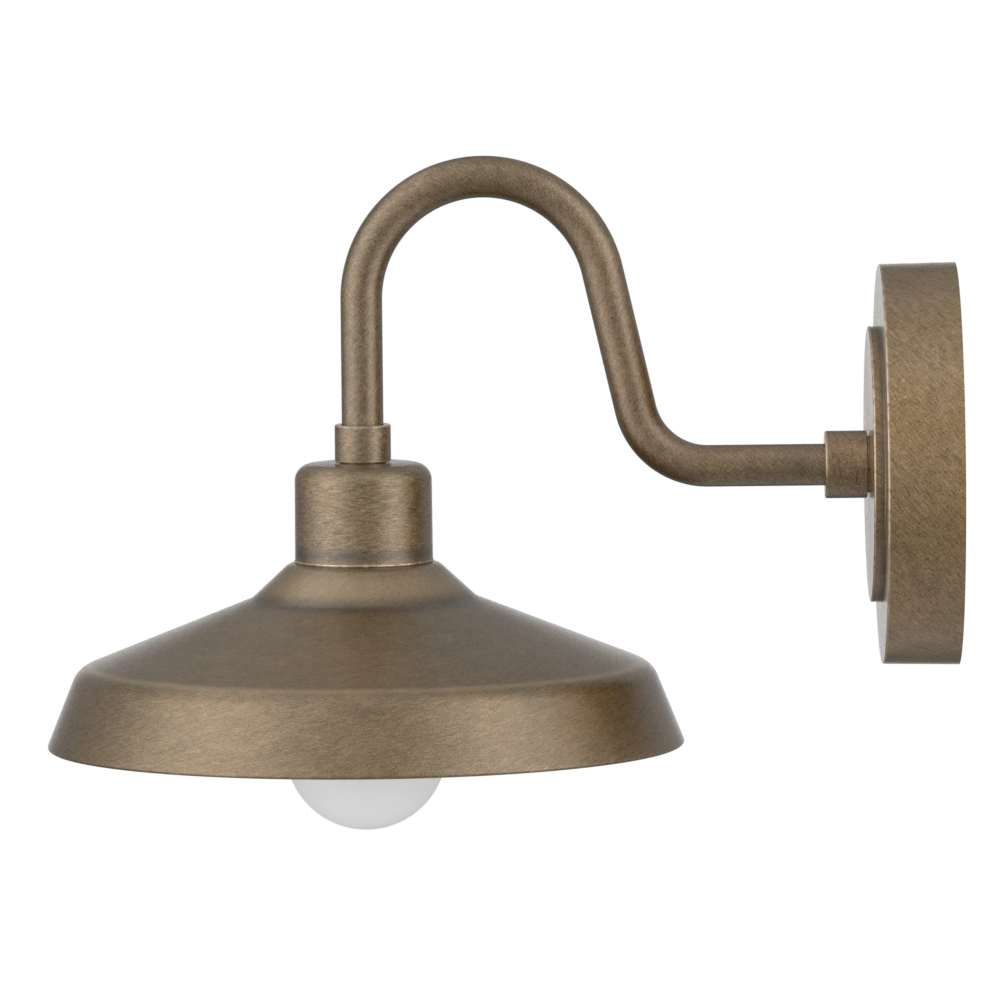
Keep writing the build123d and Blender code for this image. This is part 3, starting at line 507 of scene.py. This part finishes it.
def bronze(name, coordinates, ways, warmth=0.5, worn_and_highlit_edges=(), bands=(), painted_highlight_zones=(), depth=2.3, level=1.0):
    """Hand-rubbed antique bronze under a thin lacquer.

    ways are (slope, length, width, weight) of each set of strokes, where a slope of None is rings.
    edges are (origin, axis, radius, height, reach) of rings made lighter, partly worn and partly painted
    highlights where they catch light. bands are such rings made darker.
    zones are such places with how much lighter they are painted, as painted highlights. warmth goes from
    grey to brown, depth is how strong the texture is, and level how light the piece is, partly its own
    tone and partly painted light and shade.
    """
    material, graph = new_material(name)
    place = graph.place()
    clouds = graph.noise(place, CLOUD_SCALE, detail=3.0, roughness=0.55, distortion=0.4)
    clouds = graph.span(clouds, 0.34, 0.66)
    patches = graph.noise(place, PATCH_SCALE, detail=4.0, roughness=0.62, spread=(0.3, 0.7))
    mottle = graph.noise(place, MOTTLE_SCALE, detail=3.0, roughness=0.6)
    grain = graph.noise(place, GRAIN_SCALE, roughness=0.7)

    cloud_tone = graph.span(clouds, 0.0, 1.0, -CLOUD_WEIGHT, CLOUD_WEIGHT)
    patch_tone = graph.span(patches, 0.0, 1.0, -PATCH_WEIGHT, PATCH_WEIGHT)
    tone = graph.math("ADD", cloud_tone, patch_tone)
    tone = graph.sway(mottle, MOTTLE_WEIGHT * depth, tone)
    tone = graph.sway(grain, GRAIN_WEIGHT * depth, tone)
    tone = graph.math("MULTIPLY_ADD", hairlines(graph, place), HAIRLINE_WEIGHT * depth, tone)
    tone, marks = rubbed(graph, coordinates(graph), ways, depth, tone)
    # Painted highlights: these places are made lighter as if more light fell on them.
    for *where, gain in painted_highlight_zones:
        tone = graph.math("MULTIPLY_ADD", near_ring(graph, *where), gain, tone)

    warm = graph.sway(clouds, 0.6, warmth, clamp=True)
    # level makes the piece lighter or darker: partly its own tone, partly painted light and shade set per
    # piece.
    colour = graph.mix(warm, (*at_level(BRONZE_GREY, level), 1), (*at_level(BRONZE_BROWN, level), 1))
    colour = graph.vector("MULTIPLY_ADD", tone, at_level(BRONZE_STROKE, level), colour)
    colour = graph.vector("MAXIMUM", colour, BRONZE_LEAST)
    colour = graph.mix(graph.math("MULTIPLY", marks, MARK_WEIGHT * depth), colour, BRONZE_BRIGHT)
    # Darker bands along the given rings, in the waist, the canopy's inner corner and above the cup's lip.
    for edge in bands:
        darkening = graph.math("MULTIPLY", near_ring(graph, *edge), graph.span(patches, 0.0, 1.0, 0.55, 0.9))
        colour = graph.mix(darkening, colour, BRONZE_DARK)
    # Lighter edges: partly wear, partly painted highlights where the edges catch light.
    for edge in worn_and_highlit_edges:
        wear_and_highlight = graph.math("MULTIPLY", near_ring(graph, *edge), graph.span(mottle, 0.35, 0.6, 0.35, 1.0))
        colour = graph.mix(wear_and_highlight, colour, BRONZE_WORN_AND_HIGHLIGHT)

    roughness = graph.sway(mottle, 0.2, BRONZE_ROUGHNESS)
    roughness = graph.math("MULTIPLY_ADD", marks, -0.08, roughness)
    relief = graph.math("MULTIPLY_ADD", patches, 0.4, tone)
    graph.surface(colour, roughness, 1.0, relief, BRONZE_RELIEF, **LACQUER)
    return material


def canopy_bronze():
    return bronze(
        "bronze_canopy",
        about(WALL, OUT, CANOPY_RADIUS),
        [(1.2, 0.0036, 0.00040, 0.9), (1.9, 0.0030, 0.00036, 0.7), (-0.9, 0.0025, 0.00036, 0.5)],
        warmth=0.72,
        worn_and_highlit_edges=[
            (WALL, OUT, CANOPY_RADIUS - 0.0009, CANOPY_DEPTH - 0.0002, 0.0011),
            (WALL, OUT, STEP_RADIUS - 0.0003, -CANOPY_LOW.y - 0.0002, 0.0009),
        ],
        bands=[(WALL, OUT, STEP_RADIUS + 0.0004, CANOPY_DEPTH + 0.0006, 0.0022)],
        depth=2.2,
        level=1.18,
    )


def wall_collar_bronze():
    return bronze(
        "bronze_wall_collar",
        about(WALL, OUT, WALL_COLLAR_HIGH.x),
        [(0.4, 0.003, 0.00045, 0.7), (3.0, 0.003, 0.00045, 0.7), (None, 0.004, 0.0004, 0.8)],
        warmth=0.7,
        worn_and_highlit_edges=[(WALL, OUT, WALL_COLLAR_HIGH.x - 0.0003, -WALL_COLLAR_LOW.y - 0.0003, 0.0009)],
    )


def arm_bronze():
    return bronze(
        "bronze_arm",
        about_tube,
        [(-1.1, 0.0030, 0.00038, 0.8), (-0.5, 0.0026, 0.00038, 0.6), (1.4, 0.0026, 0.00038, 0.5)],
        warmth=0.66,
        level=0.80,
    )


def head_collar_bronze():
    return bronze(
        "bronze_head_collar",
        about(HEAD, UP, HEAD_COLLAR_HIGH.x),
        [(1.9, 0.003, 0.00045, 0.9), (-2.5, 0.003, 0.00045, 0.8), (None, 0.004, 0.0004, 0.5)],
        warmth=0.55,
        worn_and_highlit_edges=[
            (HEAD, UP, HEAD_COLLAR_HIGH.x - 0.0004, HEAD_COLLAR_HIGH.z - 0.0003, 0.0009),
            (HEAD, UP, HEAD_COLLAR_HIGH.x, HEAD_COLLAR_LOW.z + 0.0006, 0.0005),
        ],
        level=0.89,
    )


def cup_bronze():
    return bronze(
        "bronze_cup",
        about(HEAD, UP, CUP_HIGH.x),
        [(2.9, 0.0035, 0.00045, 0.8), (-4.6, 0.0035, 0.00045, 0.5), (None, 0.0045, 0.0004, 0.9)],
        warmth=0.45,
        worn_and_highlit_edges=[(HEAD, UP, CUP_HIGH.x, CUP_LOW.z + 0.0005, 0.0009)],
        bands=[(HEAD, UP, CUP_HIGH.x - 0.0002, CUP_LOW.z + 0.0042, 0.0040)],
        level=0.94,
    )


def shade_bronze():
    """Painted highlights on the shoulder and along the knee's crest, and darker along the waist."""
    return bronze(
        "bronze_shade",
        about(HEAD, UP, 0.095),
        [
            (1.8, 0.0028, 0.00042, 0.7),
            (3.4, 0.0034, 0.00042, 0.8),
            (-3.0, 0.003, 0.00042, 0.3),
            (None, 0.004, 0.00036, 0.4),
        ],
        worn_and_highlit_edges=[(HEAD, UP, RIM_RADIUS - HEM_RADIUS, SHADE_LOW.z, 0.0010)],
        bands=[(HEAD, UP, WAIST[0] + 0.0005, WAIST[1], 0.0070)],
        painted_highlight_zones=[
            (HEAD, UP, SHOULDER[0] + 0.0070, LIP - 0.0065, 0.0130, 0.70),
            (HEAD, UP, KNEE[0] - 0.0040, KNEE[1] + 0.0016, 0.0030, 0.80),
        ],
        depth=2.0,
        level=0.88,
    )


# --- Other materials ---

TURNING_MARK = (0.0002, 0.004, 0.0002)
# The frosted globe's finish. Its faint emission is a painted glow that brightens the unlit globe as more
# light around it would.
FROST_AND_PAINTED_GLOW = {
    "Subsurface Weight": 0.5,
    "Subsurface Radius": (1.0, 1.0, 1.0),
    "Subsurface Scale": 0.012,
    "Emission Color": (1.0, 1.0, 1.0, 1),
    "Emission Strength": 0.13,
}


def plated(name, colour, dull, roughness=0.3, metallic=1.0):
    """Plated or bare metal with faint turning marks and a little tarnish."""
    material, graph = new_material(name)
    place = graph.place()
    stain = graph.noise(place, 160.0, detail=4.0, spread=(0.35, 0.7))
    fine = graph.noise(graph.vector("DIVIDE", place, TURNING_MARK), 1.0)
    rough = graph.math("MULTIPLY_ADD", fine, 0.2, roughness - 0.1)
    graph.surface(graph.mix(stain, colour, dull), rough, metallic, fine, 0.00002)
    return material


def moulded(name, colour, mottle, roughness=0.45, **fixed):
    """Moulded plastic, rubber, porcelain or glass with fine surface grain and slight colour change."""
    material, graph = new_material(name)
    place = graph.place()
    cloud = graph.noise(place, 90.0, detail=3.0, spread=(0.3, 0.7))
    fine = graph.noise(place, 2200.0)
    rough = graph.math("MULTIPLY_ADD", cloud, 0.08, roughness - 0.04)
    graph.surface(graph.mix(cloud, colour, mottle), rough, 0.0, fine, 0.00001, **fixed)
    return material


def make_finishes():
    """Each node's material."""
    wall_collar = wall_collar_bronze()
    zinc = plated("zinc_steel", (0.60, 0.60, 0.58, 1), (0.42, 0.41, 0.38, 1))
    black = plated("black_steel", (0.045, 0.043, 0.042, 1), (0.09, 0.085, 0.08, 1), roughness=0.4)
    brass = plated("bright_brass", (0.70, 0.49, 0.20, 1), (0.45, 0.30, 0.12, 1), roughness=0.28)
    copper = plated("copper", (0.72, 0.36, 0.22, 1), (0.42, 0.19, 0.11, 1))
    nickel = plated("lamp_nickel", (0.68, 0.66, 0.60, 1), (0.50, 0.47, 0.41, 1), roughness=0.25)
    solder = plated("solder", (0.62, 0.61, 0.58, 1), (0.44, 0.43, 0.41, 1), roughness=0.42)
    green = plated("green_screw", (0.03, 0.23, 0.07, 1), (0.02, 0.14, 0.04, 1), 0.4, metallic=0.6)
    globe_with_painted_glow = moulded("frosted_globe", (0.93, 0.93, 0.93, 1), (0.91, 0.91, 0.91, 1), 0.42, **FROST_AND_PAINTED_GLOW)
    porcelain = moulded("porcelain", (0.86, 0.84, 0.78, 1), (0.80, 0.78, 0.72, 1), roughness=0.16)
    phenolic = moulded("ring_plastic", (0.018, 0.017, 0.016, 1), (0.03, 0.028, 0.026, 1), roughness=0.3)
    return {
        "canopy": canopy_bronze(),
        "canopy_screws": wall_collar,
        "wall_collar": wall_collar,
        "gooseneck_arm": arm_bronze(),
        "head_collar": head_collar_bronze(),
        "socket_cup": cup_bronze(),
        "shade": shade_bronze(),
        "mounting_bracket": zinc,
        "wall_nipple": zinc,
        "wall_lock_washer": zinc,
        "wall_locknut": zinc,
        "head_nipple": zinc,
        "head_lock_washer": zinc,
        "head_locknut": zinc,
        "socket_hanger": zinc,
        "hanger_screws": zinc,
        "wall_set_screw": black,
        "head_set_screw": black,
        "terminal_plates": brass,
        "terminal_screws": brass,
        "contact_tongue": brass,
        "socket_shell": brass,
        "conductor_ends": copper,
        "bulb_base": nickel,
        "bulb_tip": solder,
        "ground_screw": green,
        "socket_body": porcelain,
        "shade_ring": phenolic,
        "wall_bushing": moulded("bushing_plastic", (0.75, 0.73, 0.66, 1), (0.68, 0.66, 0.58, 1)),
        "hot_lead": moulded("black_lead", (0.012, 0.012, 0.012, 1), (0.03, 0.03, 0.03, 1)),
        "neutral_lead": moulded("white_lead", (0.78, 0.78, 0.74, 1), (0.68, 0.68, 0.64, 1)),
        "ground_lead": moulded("green_lead", (0.02, 0.2, 0.05, 1), (0.015, 0.13, 0.035, 1)),
        "bulb_insulator": moulded("black_glass", (0.008, 0.008, 0.01, 1), (0.015, 0.013, 0.018, 1), 0.1),
        "bulb_housing": moulded("lamp_white", (0.80, 0.80, 0.79, 1), (0.76, 0.76, 0.75, 1), 0.35),
        "led_board": moulded("lamp_white_board", (0.82, 0.82, 0.8, 1), (0.78, 0.78, 0.75, 1), 0.4),
        "led_driver": moulded("driver_board", (0.02, 0.13, 0.05, 1), (0.03, 0.17, 0.07, 1), 0.35),
        "bulb_globe": globe_with_painted_glow,
    }


def dress_nodes():
    """Gives every CAD node its material, and makes the arm and the shade anew."""
    finishes = make_finishes()
    for name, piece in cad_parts.items():
        piece.data.materials.clear()
        piece.data.materials.append(finishes[name])
    make_arm(finishes["gooseneck_arm"])
    make_shade(finishes["shade"])


# --- Stage and light ---

FLOOR_HEIGHT = -1.7
FLOOR_HALF = 1.4
FLOOR_COLOUR = (0.62, 0.62, 0.62, 1)

# The room's level by degrees: round from the camera's side, positive towards the wall, and up.
AZIMUTHS = (
    (-180, 0.10), (-163, 0.20), (-148, 0.12), (-125, 0.16), (-104, 0.34), (-90, 0.68), (-74, 0.95),
    (-50, 0.88), (-30, 0.57), (-10, 0.32), (14, 0.22), (30, 0.42), (46, 0.92), (57, 1.0), (67, 0.92),
    (80, 0.58), (100, 0.28), (125, 0.22), (148, 0.16), (163, 0.22), (180, 0.10),
)
ELEVATIONS = ((-90, 0.18), (-60, 0.26), (-30, 0.62), (0, 0.98), (30, 1.0), (90, 1.0))
ROOM_LEVEL = 1.8
POLE_LEVEL = 0.31
POLE_SPAN = (0.55, 0.99)
BACKDROP_WAY = (-1.0, 0.0, -0.05)
BACKDROP_SPAN = (0.965, 0.992)

# Square softboxes, with azimuth and elevation in degrees as above.
SOFTBOX_TARGET = Vector((0, -0.16, 0.0))
SOFTBOX_DISTANCE = 2.4
SOFTBOXES = (
    {"name": "soft_top", "azimuth": -20, "elevation": 62, "side": 1.2, "radiance": 0.4},
    {"name": "soft_side", "azimuth": -122, "elevation": 56, "side": 0.9, "radiance": 0.9},
)


def make_floor():
    """A pale floor well below the light, seen from above only."""
    mesh = bpy.data.meshes.new("floor")
    square = ((-1, -1), (1, -1), (1, 1), (-1, 1))
    corners = [(x * FLOOR_HALF, y * FLOOR_HALF, FLOOR_HEIGHT) for x, y in square]
    mesh.from_pydata(corners, [], [(0, 1, 2, 3)])
    floor = bpy.data.objects.new("floor", mesh)
    bpy.context.scene.collection.objects.link(floor)
    material, graph = new_material("floor")
    paint = graph.node("BsdfDiffuse", {"Color": FLOOR_COLOUR})
    clear = graph.node("BsdfTransparent")
    back = graph.node("NewGeometry").outputs["Backfacing"]
    mixed = graph.node("MixShader", {0: back, 1: paint.outputs[0], 2: clear.outputs[0]})
    graph.node("OutputMaterial", {"Surface": mixed.outputs[0]})
    mesh.materials.append(material)


def make_world():
    """A pale studio: white behind the object, and soft broad lights to its sides and above it."""
    world = bpy.data.worlds.new("studio")
    bpy.context.scene.world = world
    world.use_nodes = True
    graph = Graph(world.node_tree)
    rays = graph.node("LightPath")
    direction = graph.vector("NORMALIZE", graph.node("TexCoord").outputs["Generated"])
    parts = graph.node("SeparateXYZ", {0: direction})
    azimuth = graph.math("ARCTAN2", parts.outputs[1], parts.outputs[0])
    azimuth = graph.math("MULTIPLY_ADD", azimuth, 0.5 / pi, 0.5)
    elevation = graph.math("MULTIPLY_ADD", graph.math("ARCSINE", parts.outputs[2]), 1 / pi, 0.5)
    level_round = graph.ramp(azimuth, [(degrees / 360 + 0.5, level) for degrees, level in AZIMUTHS])
    level_up = graph.ramp(elevation, [(degrees / 180 + 0.5, level) for degrees, level in ELEVATIONS])
    flatness = graph.span(graph.math("ABSOLUTE", parts.outputs[2]), *POLE_SPAN, 1.0, 0.0)
    level_round = graph.math("SUBTRACT", level_round, POLE_LEVEL)
    level_round = graph.math("MULTIPLY_ADD", level_round, flatness, POLE_LEVEL)
    room = graph.math("MULTIPLY", graph.math("MULTIPLY", level_round, level_up), ROOM_LEVEL)
    behind = graph.span(graph.vector("DOT_PRODUCT", direction, BACKDROP_WAY), *BACKDROP_SPAN)
    backdrop = graph.math("MULTIPLY", behind, rays.outputs["Is Glossy Ray"])
    lit = graph.math("MULTIPLY_ADD", backdrop, graph.math("SUBTRACT", 1.0, room), room)
    shown = graph.math("MAXIMUM", rays.outputs["Is Camera Ray"], rays.outputs["Is Transmission Ray"])
    level = graph.math("MULTIPLY_ADD", shown, graph.math("SUBTRACT", 1.0, lit), lit)
    shader = graph.node("Background", {"Color": (1, 1, 1, 1), "Strength": level})
    graph.node("OutputWorld", {"Surface": shader.outputs[0]})


def make_softbox(name, azimuth, elevation, side, radiance):
    """A square lamp that faces the light's middle."""
    a, e = radians(azimuth), radians(elevation)
    place = SOFTBOX_TARGET + SOFTBOX_DISTANCE * Vector((cos(e) * cos(a), cos(e) * sin(a), sin(e)))
    data = bpy.data.lights.new(name, "AREA")
    data.shape = "SQUARE"
    data.size = side
    data.energy = radiance * pi * side * side
    lamp = bpy.data.objects.new(name, data)
    aim = (SOFTBOX_TARGET - place).to_track_quat("-Z", "Y").to_matrix().to_4x4()
    lamp.matrix_world = Matrix.Translation(place) @ aim
    bpy.context.scene.collection.objects.link(lamp)


bpy.context.scene.view_settings.view_transform = "Standard"
make_camera()
make_floor()
make_world()
for softbox in SOFTBOXES:
    make_softbox(**softbox)
dress_nodes()
